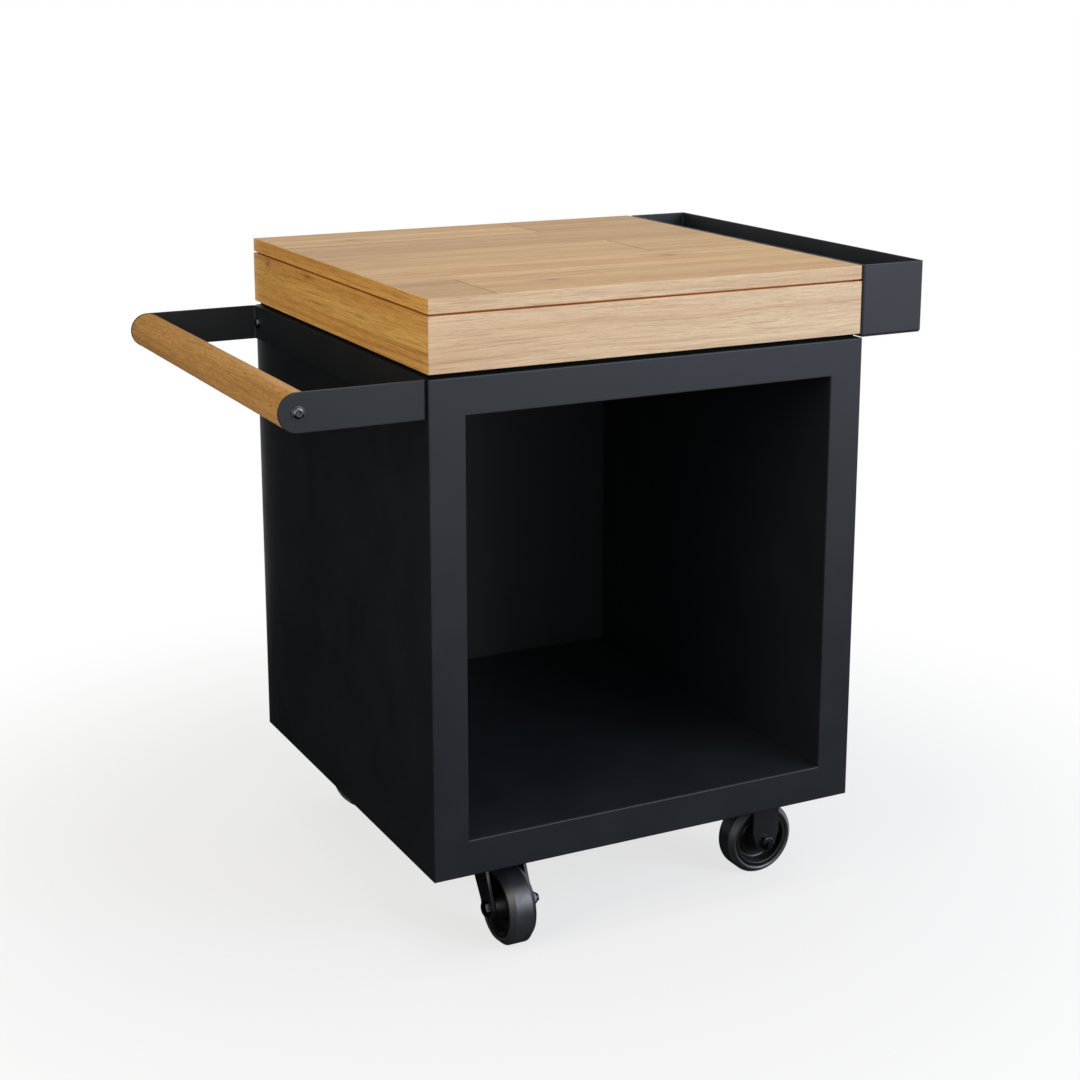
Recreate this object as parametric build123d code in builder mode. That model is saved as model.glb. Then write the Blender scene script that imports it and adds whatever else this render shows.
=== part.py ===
from build123d import *
import os

# A mobile prep trolley: a double-skinned steel storage cabinet on two swivel and two fixed casters,
# a timber worktop with a loose board, a folded steel planter on the right, a push handle on the left.
# Millimetres. Origin on the floor under the middle of the whole box, +Z up, the open front faces -Y
# and the planter is towards +X.

# Cabinet
cabinet_width = 600
cabinet_depth = 600
cabinet_height = 618
frame_border = 46  # face width of the front frame round the storage opening
frame_sheet = 3  # front frame plate
sheet = 2  # panels, deck, base, liners and channels
bend_radius = 2  # inside radius of every fold in sheet
edge_radius = 1.2  # eased edges of the front frame
rear_flange = 22  # returns of sides, deck and base round the back panel
base_flange = 25  # upturned sides of the base panel
liner_flange = 15  # returns of the liners against the back panel
flange_gap = 0.5  # between neighbouring returns
channel_width = 120  # channels over the casters

# Worktop
top_gap = 6  # shadow gap between the deck and the aprons
worktop_setback = 4  # worktop's right end inside the cabinet's right side
apron_height = 67
apron_thickness = 24
groove_height = 2  # shadow groove between the aprons and the board's edge
groove_depth = 8  # how far the groove runs in under the board
board_thickness = 18
board_edge_radius = 1.5
bearer_width = 20
bearer_height = 30
cleat_width = 30
cleat_height = 20
cleat_clearance = 1  # round the cleats, so that the board lifts freely
pad_setback = 6  # spacer frame in the shadow gap, behind the faces of the aprons
pad_width = 16
screw_end_inset = 60  # outer screws from the worktop's ends
screw_radius = 2.5
screw_grip = 25  # length of screw in the timber
screw_head_radius = 5
screw_head_height = 3
screw_head_bevel = 1.5

# Planter
planter_width = 94
planter_length = 596
planter_gap = 2  # between the worktop and the trough
planter_lift = 0.5  # above the top of the cabinet
planter_height = 92.5
planter_sheet = 2
planter_corner_radius = 4
planter_bolt_radius = 3
planter_bolt_grip = 18  # length of bolt in the apron
planter_bolt_pitch = 230
planter_spacer_radius = 9

# Handle
handle_reach = 179  # from the cabinet's left side to the tips of the arms
bracket_height = 46.5
bracket_sheet = 3
arm_inset = 4  # outer face of each arm behind the cabinet's front or back
bar_diameter = 46
bar_end_radius = 1
handle_bolt_radius = 4
bar_bolt_grip = 32  # length of bolt in the bar
bracket_bolt_inset = 19  # from the cabinet's front or back
bracket_nut_flats = 13
bracket_nut_height = 6.5
button_flange_radius = 8
button_flange_height = 1.3
button_head_radius = 6.5
button_head_height = 4.4
button_crown_radius = 2.3
button_socket_flats = 5
button_socket_depth = 2.6

# Casters
wheel_radius = 50
tyre_width = 38
tread_width = 23
tyre_side_radius = 43  # where the bevelled shoulder ends
tyre_lip_round = 1.5
tread_edge_round = 2
rim_radius = 40
rim_width = 34
dish_radius = 34
rim_bevel = 1.5
rim_lip_round = 2
dish_round = 4.5
dish_draft = 1.5  # taper of the dish's wall, on radius
web_thickness = 5
hub_base_radius = 20  # at the web, from where the hub narrows to its nose
hub_nose_radius = 14
hub_nose_round = 3
hub_side_clearance = 1
sleeve_radius = 7.5
axle_radius = 5
axle_flats = 17
hex_face = 0.95  # chamfered face of bolt heads and nuts, of their width across flats
axle_head_height = 6.4
axle_nut_height = 8
axle_collar_height = 2  # locking collar of the nut
axle_collar_radius = 7
axle_end = 3  # thread that shows past the nut
fork_gap = 49  # between the legs
fork_sheet = 4
fork_bend_radius = 3
fork_end_radius = 15
fork_headroom = 8.5  # between the tyre and the crown of a swivel fork
swivel_leg_width = 44
fixed_leg_width = 40
fixed_leg_straight = 12  # how far above the axle a fixed leg starts to taper
trail = 36  # of a swivel wheel behind its kingpin
plate_length = 100
plate_width = 84
plate_thickness = 3.5
plate_corner_radius = 8
plate_pitch_x = 80
plate_pitch_y = 60
caster_bolt_radius = 4
caster_bolt_flats = 13
caster_bolt_head = 5.3
caster_nut_height = 6.5
race_height = 12.5  # from the plate down to the fork's crown
race_ring_height = 5
race_inner_radius = 12
race_outer_radius = 18
race_clearance = 0.5
cup_gap = 1.5
cup_wall = 2
cup_height = 8
kingpin_radius = 6
kingpin_head_radius = 8.5
kingpin_collar_radius = 11
kingpin_collar_height = 5
caster_inset = 92  # kingpins and fixed axles from the cabinet's front or back
swivel_inset = 125  # kingpins from the cabinet's left side
fixed_inset = 83  # fixed axles from the cabinet's right side
front_trail_angle = -90  # where each swivel wheel trails, from +X
rear_trail_angle = 105

# Fits, all on radius or on one side
running_fit = 0.05  # turning pairs
running_gap = 0.2  # flat faces that turn past each other
screw_clearance = 0.25  # fasteners in their holes
seat_clearance = 0.1  # round pieces seated in each other for good

# Places worked out from these sizes
worktop_width = cabinet_width - worktop_setback
planter_overhang = planter_width + planter_gap - worktop_setback
overall_length = handle_reach + cabinet_width + planter_overhang
cab_left = handle_reach - overall_length / 2
cab_right = cab_left + cabinet_width
cab_middle = (cab_left + cab_right) / 2
cab_front = -cabinet_depth / 2
cab_back = cabinet_depth / 2
crown_bottom = 2 * wheel_radius + fork_headroom
crown_top = crown_bottom + fork_sheet
plate_bottom = crown_top + race_height
cab_bottom = plate_bottom + plate_thickness
cab_top = cab_bottom + cabinet_height
panel_front = cab_front + frame_sheet
flange_face = cab_back - sheet
back_inner = flange_face - sheet
fold_end = back_inner - bend_radius
opening_left = cab_left + frame_border
opening_right = cab_right - frame_border
opening_width = opening_right - opening_left
opening_bottom = cab_bottom + frame_border
opening_top = cab_top - frame_border
apron_bottom = cab_top + top_gap
apron_top = apron_bottom + apron_height
board_bottom = apron_top + groove_height
worktop_right = cab_left + worktop_width
worktop_middle = cab_left + worktop_width / 2
planter_left = worktop_right + planter_gap
planter_right = planter_left + planter_width
planter_bottom = cab_top + planter_lift
planter_bolt_z = planter_bottom + planter_height / 2
handle_z = cab_top - bracket_height / 2
bar_x = cab_left - handle_reach + bracket_height / 2
arm_y = cabinet_depth / 2 - arm_inset
hub_length = fork_gap - 2 * hub_side_clearance

bracket_bolt_y = cabinet_depth / 2 - bracket_bolt_inset
bracket_bolt_places = [(-bracket_bolt_y, handle_z), (bracket_bolt_y, handle_z)]
screw_row = worktop_width / 2 - screw_end_inset
screw_y = cabinet_depth / 2 - apron_thickness / 2
screw_places = [(worktop_middle + x, y) for x in (-screw_row, 0, screw_row) for y in (-screw_y, screw_y)]
planter_bolt_places = [(step * planter_bolt_pitch, planter_bolt_z) for step in (-1, 0, 1)]
swivel_x = cab_left + swivel_inset
fixed_x = cab_right - fixed_inset
caster_y = cabinet_depth / 2 - caster_inset
caster_places = [(x, y) for x in (swivel_x, fixed_x) for y in (-caster_y, caster_y)]


def save(builder, name, place=Location()):
    """Puts a finished piece in its place and writes it under its name."""
    piece = builder.part.moved(place)
    piece.label = name
    export_step(piece, f"parts/{name}.step")


def folded(points, thickness, radius, side):
    """Edges of a folded sheet's section: a line with rounded corners, thickened to one side."""
    with BuildLine(Plane.XY) as section:
        FilletPolyline(*points, radius=radius)
        offset(amount=thickness, side=side)
    return section.edges()


def bolt_holes(radius):
    """A caster's four bolt holes, as a sketch about its middle."""
    with BuildSketch(Plane.XY) as holes:
        with GridLocations(plate_pitch_x, plate_pitch_y, 2, 2):
            Circle(radius)
    return holes.sketch


def hex_blank(flats, height):
    """Hexagon along +Z, standing on the origin, the corners of its far face turned off at 30 degrees."""
    corner = flats / 3**0.5
    face = hex_face * flats / 2
    shoulder = height - (corner - face) / 3**0.5
    with BuildPart() as blank:
        with BuildSketch(Plane.XY):
            RegularPolygon(flats / 2, 6, major_radius=False)
        extrude(amount=height)
        with BuildSketch(Plane.XZ):
            Polygon((0, 0), (corner, 0), (corner, shoulder), (face, height), (0, height), align=None)
        revolve(axis=Axis.Z, mode=Mode.INTERSECT)
    return blank


def hex_bolt(flats, head_height, radius, length):
    """Bolt along -Z, with the underside of its head at the origin."""
    head = hex_blank(flats, head_height)
    with BuildPart() as bolt:
        add(head.part)
        with BuildSketch(Plane.XY):
            Circle(radius)
        extrude(amount=-length)
    return bolt


def hex_nut(flats, height, hole_radius):
    """Nut along +Z, standing on the origin."""
    blank = hex_blank(flats, height)
    with BuildPart() as nut:
        add(blank.part)
        with BuildSketch(Plane.XY):
            Circle(hole_radius)
        extrude(amount=height, mode=Mode.SUBTRACT)
    return nut


def button_bolt(radius, length):
    """Flanged button-head bolt along -Z, with the underside of its flange at the origin."""
    with BuildPart() as bolt:
        with BuildSketch(Plane.XY):
            Circle(button_flange_radius)
        extrude(amount=button_flange_height)
        with BuildSketch(Plane.XY.offset(button_flange_height)):
            Circle(button_head_radius)
        extrude(amount=button_head_height - button_flange_height)
        crown = bolt.edges().group_by(Axis.Z)[-1]
        fillet(crown, radius=button_crown_radius)
        with BuildSketch(Plane.XY.offset(button_head_height)):
            RegularPolygon(button_socket_flats / 2, 6, major_radius=False)
        extrude(amount=-button_socket_depth, mode=Mode.SUBTRACT)
        with BuildSketch(Plane.XY):
            Circle(radius)
        extrude(amount=-length)
    return bolt


os.makedirs("parts", exist_ok=True)

# Front frame
with BuildPart() as front_frame:
    with BuildSketch(Plane.XZ.offset(-cab_front)):
        with Locations((cab_middle, (cab_bottom + cab_top) / 2)):
            Rectangle(cabinet_width, cabinet_height)
            Rectangle(opening_width, opening_top - opening_bottom, mode=Mode.SUBTRACT)
    extrude(amount=-frame_sheet)
    fillet(front_frame.faces().sort_by(Axis.Y)[0].edges(), radius=edge_radius)
save(front_frame, "front_frame")


# Side panels, each with a return at the back
def side_panel(face_x, inward):
    inner_x = face_x + inward * sheet
    section = folded(
        [(inner_x, panel_front), (inner_x, flange_face), (face_x + inward * rear_flange, flange_face)],
        sheet,
        bend_radius,
        Side.LEFT if inward > 0 else Side.RIGHT,
    )
    with BuildPart() as panel:
        with BuildSketch(Plane.XY.offset(cab_bottom)):
            make_face(section)
        extrude(amount=cabinet_height)
    return panel


left_blank = side_panel(cab_left, 1)
with BuildPart() as left_side_panel:
    add(left_blank.part)
    with BuildSketch(Plane.YZ.offset(cab_left)):
        with Locations(*bracket_bolt_places):
            Circle(handle_bolt_radius + screw_clearance)
    extrude(amount=sheet, mode=Mode.SUBTRACT)
save(left_side_panel, "left_side_panel")

right_side_panel = side_panel(cab_right, -1)
save(right_side_panel, "right_side_panel")

# Back panel, inside the returns
with BuildPart() as back_panel:
    with BuildSketch(Plane.XZ.offset(-flange_face)):
        with Locations((cab_middle, (cab_bottom + cab_top) / 2)):
            panel_margin = 2 * (sheet + bend_radius)
            Rectangle(cabinet_width - panel_margin, cabinet_height - panel_margin)
    extrude(amount=sheet)
save(back_panel, "back_panel")

# Top deck and base: a channel section with down- or upturned sides, and a return at the back
inner_left = cab_left + 2 * sheet
inner_right = cab_right - 2 * sheet
return_width = cabinet_width - 2 * (rear_flange + flange_gap)

deck_plane = cab_top - sheet
deck_section = folded(
    [
        (inner_left, cab_top - bracket_height),
        (inner_left, deck_plane),
        (inner_right, deck_plane),
        (inner_right, cab_top - bracket_height),
    ],
    sheet,
    bend_radius,
    Side.LEFT,
)
deck_return = folded(
    [(panel_front, deck_plane), (flange_face, deck_plane), (flange_face, cab_top - rear_flange)],
    sheet,
    bend_radius,
    Side.LEFT,
)
with BuildPart() as top_deck:
    with BuildSketch(Plane.XZ.offset(-panel_front)):
        make_face(deck_section)
    extrude(amount=panel_front - fold_end)
    with BuildSketch(Plane.YZ.offset(cab_middle)):
        make_face(deck_return)
    extrude(amount=return_width / 2, both=True)
    with BuildSketch(Plane.XY.offset(cab_top)):
        with Locations(*screw_places):
            Circle(screw_radius + screw_clearance)
    extrude(amount=-sheet, mode=Mode.SUBTRACT)
    with BuildSketch(Plane.YZ.offset(cab_left + sheet)):
        with Locations(*bracket_bolt_places):
            Circle(handle_bolt_radius + screw_clearance)
    extrude(amount=sheet, mode=Mode.SUBTRACT)
save(top_deck, "top_deck")

base_plane = cab_bottom + sheet
base_section = folded(
    [
        (inner_left, cab_bottom + base_flange),
        (inner_left, base_plane),
        (inner_right, base_plane),
        (inner_right, cab_bottom + base_flange),
    ],
    sheet,
    bend_radius,
    Side.RIGHT,
)
base_return = folded(
    [(panel_front, base_plane), (flange_face, base_plane), (flange_face, cab_bottom + rear_flange)],
    sheet,
    bend_radius,
    Side.RIGHT,
)
caster_holes = bolt_holes(caster_bolt_radius + screw_clearance)
with BuildPart() as base_panel:
    with BuildSketch(Plane.XZ.offset(-panel_front)):
        make_face(base_section)
    extrude(amount=panel_front - fold_end)
    with BuildSketch(Plane.YZ.offset(cab_middle)):
        make_face(base_return)
    extrude(amount=return_width / 2, both=True)
    with BuildSketch(Plane.XY.offset(cab_bottom)):
        with Locations(*caster_places):
            add(caster_holes)
    extrude(amount=sheet, mode=Mode.SUBTRACT)
save(base_panel, "base_panel")

# Inner skin of the storage compartment, each sheet with a return against the back panel
liner_radius = bend_radius + sheet
for name, face_x, outward in (("liner_left", opening_left, -1), ("liner_right", opening_right, 1)):
    section = folded(
        [(face_x, panel_front), (face_x, back_inner), (face_x + outward * liner_flange, back_inner)],
        sheet,
        liner_radius,
        Side.LEFT if outward < 0 else Side.RIGHT,
    )
    with BuildPart() as liner:
        with BuildSketch(Plane.XY.offset(opening_bottom - sheet)):
            make_face(section)
        extrude(amount=opening_top - opening_bottom + 2 * sheet)
    save(liner, name)

for name, face_z, outward in (("storage_floor", opening_bottom, -1), ("liner_ceiling", opening_top, 1)):
    section = folded(
        [(panel_front, face_z), (back_inner, face_z), (back_inner, face_z + outward * liner_flange)],
        sheet,
        liner_radius,
        Side.RIGHT if outward < 0 else Side.LEFT,
    )
    with BuildPart() as liner:
        with BuildSketch(Plane.YZ.offset(cab_middle)):
            make_face(section)
        extrude(amount=opening_width / 2, both=True)
    save(liner, name)

# Channels between the base and the storage floor, over the casters
channel_top = opening_bottom - sheet
for name, middle in (("caster_channel_left", swivel_x), ("caster_channel_right", fixed_x)):
    side_x = channel_width / 2 - sheet
    section = folded(
        [
            (middle - side_x, channel_top),
            (middle - side_x, base_plane + sheet),
            (middle + side_x, base_plane + sheet),
            (middle + side_x, channel_top),
        ],
        sheet,
        bend_radius,
        Side.RIGHT,
    )
    with BuildPart() as channel:
        with BuildSketch(Plane.XZ.offset(-panel_front)):
            make_face(section)
        extrude(amount=panel_front - fold_end + sheet)
        with BuildSketch(Plane.XY.offset(base_plane)):
            with Locations((middle, -caster_y), (middle, caster_y)):
                add(caster_holes)
        extrude(amount=sheet, mode=Mode.SUBTRACT)
    save(channel, name)


# Aprons, mitred at the corners
def apron(outer_length, plane, screw_places=()):
    """A board standing on the plane, outer face along the plane's X axis, ends cut at 45 degrees."""
    half = outer_length / 2
    inner = half - apron_thickness
    with BuildPart() as board:
        with BuildSketch(plane):
            Polygon((-half, 0), (half, 0), (inner, apron_thickness), (-inner, apron_thickness), align=None)
        extrude(amount=apron_height)
        if screw_places:
            with BuildSketch(plane):
                with Locations(*screw_places):
                    Circle(screw_radius + screw_clearance)
            extrude(amount=screw_grip, mode=Mode.SUBTRACT)
    return board


apron_screws = [(x, apron_thickness / 2) for x in (-screw_row, 0, screw_row)]
apron_front = apron(
    worktop_width, Plane((worktop_middle, cab_front, apron_bottom), x_dir=(1, 0, 0)), apron_screws
)
save(apron_front, "apron_front")
apron_back = apron(
    worktop_width, Plane((worktop_middle, cab_back, apron_bottom), x_dir=(-1, 0, 0)), apron_screws
)
save(apron_back, "apron_back")
apron_left = apron(cabinet_depth, Plane((cab_left, 0, apron_bottom), x_dir=(0, -1, 0)))
save(apron_left, "apron_left")

right_blank = apron(cabinet_depth, Plane((worktop_right, 0, apron_bottom), x_dir=(0, 1, 0)))
with BuildPart() as apron_right:
    add(right_blank.part)
    with BuildSketch(Plane.YZ.offset(worktop_right)):
        with Locations(*planter_bolt_places):
            Circle(planter_bolt_radius + screw_clearance)
    extrude(amount=-planter_bolt_grip - screw_clearance, mode=Mode.SUBTRACT)
save(apron_right, "apron_right")

# Bearers, on the inner faces of the side aprons and flush with their tops
bearer_offset = worktop_width / 2 - apron_thickness - bearer_width / 2
frame_inside = cabinet_depth - 2 * apron_thickness
with BuildPart() as worktop_bearers:
    with BuildSketch(Plane.XY.offset(apron_top)):
        with Locations((worktop_middle - bearer_offset, 0), (worktop_middle + bearer_offset, 0)):
            Rectangle(bearer_width, frame_inside)
    extrude(amount=-bearer_height)
save(worktop_bearers, "worktop_bearers")

# Spacer frame under the aprons, and screws up through it into the front and back ones
pad_outer_width = worktop_width - 2 * pad_setback
pad_outer_depth = cabinet_depth - 2 * pad_setback
with BuildPart() as spacer_pads:
    with BuildSketch(Plane.XY.offset(cab_top)):
        with Locations((worktop_middle, 0)):
            Rectangle(pad_outer_width, pad_outer_depth)
            Rectangle(pad_outer_width - 2 * pad_width, pad_outer_depth - 2 * pad_width, mode=Mode.SUBTRACT)
        with Locations(*screw_places):
            Circle(screw_radius + screw_clearance, mode=Mode.SUBTRACT)
    extrude(amount=top_gap)
save(spacer_pads, "spacer_pads")

with BuildPart() as worktop_screws:
    with BuildSketch(Plane.XY.offset(deck_plane)):
        with Locations(*screw_places):
            Circle(screw_head_radius)
    extrude(amount=-screw_head_height)
    chamfer(worktop_screws.edges().group_by(Axis.Z)[0], length=screw_head_bevel)
    with BuildSketch(Plane.XY.offset(deck_plane)):
        with Locations(*screw_places):
            Circle(screw_radius)
    extrude(amount=sheet + top_gap + screw_grip - screw_clearance)
save(worktop_screws, "worktop_screws")

# Loose board, rebated round its underside for the groove, and the cleats that locate it
with BuildPart() as prep_board:
    with BuildSketch(Plane.XY.offset(board_bottom)):
        with Locations((worktop_middle, 0)):
            Rectangle(worktop_width, cabinet_depth)
    extrude(amount=board_thickness)
    fillet(prep_board.edges(), radius=board_edge_radius)
    with BuildSketch(Plane.XY.offset(apron_top)):
        with Locations((worktop_middle, 0)):
            Rectangle(worktop_width - 2 * groove_depth, cabinet_depth - 2 * groove_depth)
    extrude(amount=groove_height)
save(prep_board, "prep_board")

cleat_offset = bearer_offset - bearer_width / 2 - cleat_clearance - cleat_width / 2
with BuildPart() as board_cleats:
    with BuildSketch(Plane.XY.offset(apron_top)):
        with Locations((worktop_middle - cleat_offset, 0), (worktop_middle + cleat_offset, 0)):
            Rectangle(cleat_width, frame_inside - 2 * cleat_clearance)
    extrude(amount=-cleat_height)
save(board_cleats, "board_cleats")

# Planter: a folded trough, open at the top
planter_back = cab_front + planter_length
with BuildPart() as planter_trough:
    with BuildSketch(Plane.XY.offset(planter_bottom)):
        with Locations(((planter_left + planter_right) / 2, (cab_front + planter_back) / 2)):
            RectangleRounded(planter_width, planter_length, planter_corner_radius)
    extrude(amount=planter_height)
    fillet(planter_trough.faces().sort_by(Axis.Z)[0].edges(), radius=bend_radius + planter_sheet)
    offset(amount=-planter_sheet, openings=planter_trough.faces().sort_by(Axis.Z)[-1])
    with BuildSketch(Plane.YZ.offset(planter_left)):
        with Locations(*planter_bolt_places):
            Circle(planter_bolt_radius + screw_clearance)
    extrude(amount=planter_sheet, mode=Mode.SUBTRACT)
save(planter_trough, "planter_trough")

with BuildPart() as planter_spacers:
    with BuildSketch(Plane.YZ.offset(worktop_right)):
        with Locations(*planter_bolt_places):
            Circle(planter_spacer_radius)
            Circle(planter_bolt_radius + screw_clearance, mode=Mode.SUBTRACT)
    extrude(amount=planter_gap)
save(planter_spacers, "planter_spacers")

planter_bolt_length = planter_sheet + planter_gap + planter_bolt_grip
planter_bolt = button_bolt(planter_bolt_radius, planter_bolt_length)
with BuildPart() as planter_bolts:
    for y, z in planter_bolt_places:
        seat = Plane((planter_left + planter_sheet, y, z), x_dir=(0, 1, 0), z_dir=(1, 0, 0))
        with Locations(seat.location):
            add(planter_bolt.part)
save(planter_bolts, "planter_bolts")

# Handle bracket: a U of flat steel, its web on the left panel, its arms round at the ends
arm_tip = cab_left - handle_reach
bracket_section = folded(
    [(arm_tip, -arm_y), (cab_left, -arm_y), (cab_left, arm_y), (arm_tip, arm_y)],
    bracket_sheet,
    bend_radius + bracket_sheet,
    Side.LEFT,
)
with BuildPart() as handle_bracket:
    with BuildSketch(Plane.XY.offset(cab_top - bracket_height)):
        make_face(bracket_section)
    extrude(amount=bracket_height)
    with BuildSketch(Plane.XZ):
        with Locations(((bar_x + cab_left) / 2, handle_z)):
            Rectangle(cab_left - bar_x, bracket_height)
        with Locations((bar_x, handle_z)):
            Circle(bracket_height / 2)
    extrude(amount=cabinet_depth, both=True, mode=Mode.INTERSECT)
    with BuildSketch(Plane.XZ):
        with Locations((bar_x, handle_z)):
            Circle(handle_bolt_radius + screw_clearance)
    extrude(amount=cabinet_depth, both=True, mode=Mode.SUBTRACT)
    with BuildSketch(Plane.YZ.offset(cab_left)):
        with Locations(*bracket_bolt_places):
            Circle(handle_bolt_radius + screw_clearance)
    extrude(amount=-bracket_sheet, mode=Mode.SUBTRACT)
save(handle_bracket, "handle_bracket")

# Timber bar between the arms
bar_half = arm_y - bracket_sheet
with BuildPart() as handle_bar:
    with BuildSketch(Plane.XZ):
        with Locations((bar_x, handle_z)):
            Circle(bar_diameter / 2)
    extrude(amount=bar_half, both=True)
    fillet(handle_bar.edges().filter_by(GeomType.CIRCLE), radius=bar_end_radius)
    for end in (-1, 1):
        with BuildSketch(Plane.XZ.offset(end * bar_half)):
            with Locations((bar_x, handle_z)):
                Circle(handle_bolt_radius + screw_clearance)
        extrude(amount=-end * (bar_bolt_grip + screw_clearance), mode=Mode.SUBTRACT)
save(handle_bar, "handle_bar")

bar_bolt = button_bolt(handle_bolt_radius, bracket_sheet + bar_bolt_grip)
with BuildPart() as bar_bolts:
    with Locations(
        Plane((bar_x, -arm_y, handle_z), x_dir=(1, 0, 0), z_dir=(0, -1, 0)).location,
        Plane((bar_x, arm_y, handle_z), x_dir=(1, 0, 0), z_dir=(0, 1, 0)).location,
    ):
        add(bar_bolt.part)
save(bar_bolts, "bar_bolts")

bracket_grip = bracket_sheet + 2 * sheet
bracket_bolt = button_bolt(handle_bolt_radius, bracket_grip + bracket_nut_height + screw_clearance)
bracket_nut = hex_nut(bracket_nut_flats, bracket_nut_height, handle_bolt_radius + seat_clearance)
with BuildPart() as bracket_bolts:
    for y, z in bracket_bolt_places:
        with Locations(Plane((cab_left - bracket_sheet, y, z), x_dir=(0, 1, 0), z_dir=(-1, 0, 0)).location):
            add(bracket_bolt.part)
        with Locations(Plane((cab_left + 2 * sheet, y, z), x_dir=(0, 1, 0), z_dir=(1, 0, 0)).location):
            add(bracket_nut.part)
save(bracket_bolts, "bracket_bolts")

# Bolts and nuts of the caster plates
plate_bolt_length = plate_thickness + 2 * sheet + caster_nut_height + screw_clearance
plate_bolt = hex_bolt(caster_bolt_flats, caster_bolt_head, caster_bolt_radius, plate_bolt_length)
plate_nut = hex_nut(caster_bolt_flats, caster_nut_height, caster_bolt_radius + seat_clearance)
with BuildPart() as caster_bolts:
    for x, y in caster_places:
        with Locations(Plane((x, y, plate_bottom), x_dir=(1, 0, 0), z_dir=(0, 0, -1)).location):
            with GridLocations(plate_pitch_x, plate_pitch_y, 2, 2):
                add(plate_bolt.part)
        with Locations((x, y, base_plane + sheet)):
            with GridLocations(plate_pitch_x, plate_pitch_y, 2, 2):
                add(plate_nut.part)
save(caster_bolts, "caster_bolts")


# Wheel, about the origin with its axle along Y
def wheel(corner, place):
    with BuildPart() as tyre:
        with BuildSketch(Plane.YZ) as tyre_section:
            with BuildLine():
                Polyline(
                    (rim_width / 2, rim_radius + seat_clearance),
                    (tyre_width / 2, tyre_side_radius),
                    (tread_width / 2, wheel_radius),
                    (-tread_width / 2, wheel_radius),
                    (-tyre_width / 2, tyre_side_radius),
                    (-rim_width / 2, rim_radius + seat_clearance),
                    close=True,
                )
            make_face()
            fillet(tyre_section.vertices().group_by(Axis.Y)[-1], radius=tread_edge_round)
            fillet(tyre_section.vertices().group_by(Axis.Y)[1], radius=tyre_lip_round)
        revolve(axis=Axis.Y)
    save(tyre, f"{corner}_tyre", place)

    with BuildPart() as rim:
        with BuildSketch(Plane.YZ) as rim_section:
            with BuildLine():
                Polyline(
                    (0, sleeve_radius + running_fit),
                    (hub_length / 2, sleeve_radius + running_fit),
                    (hub_length / 2, hub_nose_radius),
                    (web_thickness / 2, hub_base_radius),
                    (web_thickness / 2, dish_radius - dish_draft),
                    (rim_width / 2, dish_radius),
                    (rim_width / 2, rim_radius - rim_bevel),
                    (rim_width / 2 - rim_bevel, rim_radius),
                    (0, rim_radius),
                    close=True,
                )
            make_face()
            rim_face = rim_section.vertices().filter_by_position(Axis.X, rim_width / 2, rim_width / 2)
            fillet(rim_face.sort_by(Axis.Y)[0], radius=rim_lip_round)
            fillet(rim_section.vertices().group_by(Axis.X)[1], radius=dish_round)
            nose = rim_section.vertices().group_by(Axis.X)[-1]
            fillet(nose.sort_by(Axis.Y)[-1], radius=hub_nose_round)
            mirror(about=Plane.YZ)
        revolve(axis=Axis.Y)
    save(rim, f"{corner}_rim", place)


# Axle, about the middle of the wheel: bolt, locknut and the sleeve that the wheel turns on
def axle(corner, place, nut_side):
    leg_outside = fork_gap / 2 + fork_sheet
    with BuildPart() as sleeve:
        with BuildSketch(Plane.XZ):
            Circle(sleeve_radius)
            Circle(axle_radius + seat_clearance, mode=Mode.SUBTRACT)
        extrude(amount=fork_gap / 2, both=True)
    save(sleeve, f"{corner}_axle_sleeve", place)

    bolt = hex_bolt(
        axle_flats,
        axle_head_height,
        axle_radius,
        2 * leg_outside + axle_nut_height + axle_collar_height + axle_end,
    )
    head_plane = Plane((0, -nut_side * leg_outside, 0), x_dir=(1, 0, 0), z_dir=(0, -nut_side, 0))
    save(bolt, f"{corner}_axle_bolt", place * head_plane.location)

    blank = hex_blank(axle_flats, axle_nut_height)
    with BuildPart() as nut:
        add(blank.part)
        with BuildSketch(Plane.XY.offset(axle_nut_height)):
            Circle(axle_collar_radius)
        extrude(amount=axle_collar_height)
        with BuildSketch(Plane.XY):
            Circle(axle_radius + seat_clearance)
        extrude(amount=axle_nut_height + axle_collar_height, mode=Mode.SUBTRACT)
    nut_plane = Plane((0, nut_side * leg_outside, 0), x_dir=(1, 0, 0), z_dir=(0, nut_side, 0))
    save(nut, f"{corner}_axle_nut", place * nut_plane.location)


def fork_section(top):
    """Section of a fork across the wheel: an upside-down U whose crown's underside is at top."""
    return folded(
        [(-fork_gap / 2, 0), (-fork_gap / 2, top), (fork_gap / 2, top), (fork_gap / 2, 0)],
        fork_sheet,
        fork_bend_radius,
        Side.LEFT,
    )


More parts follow.
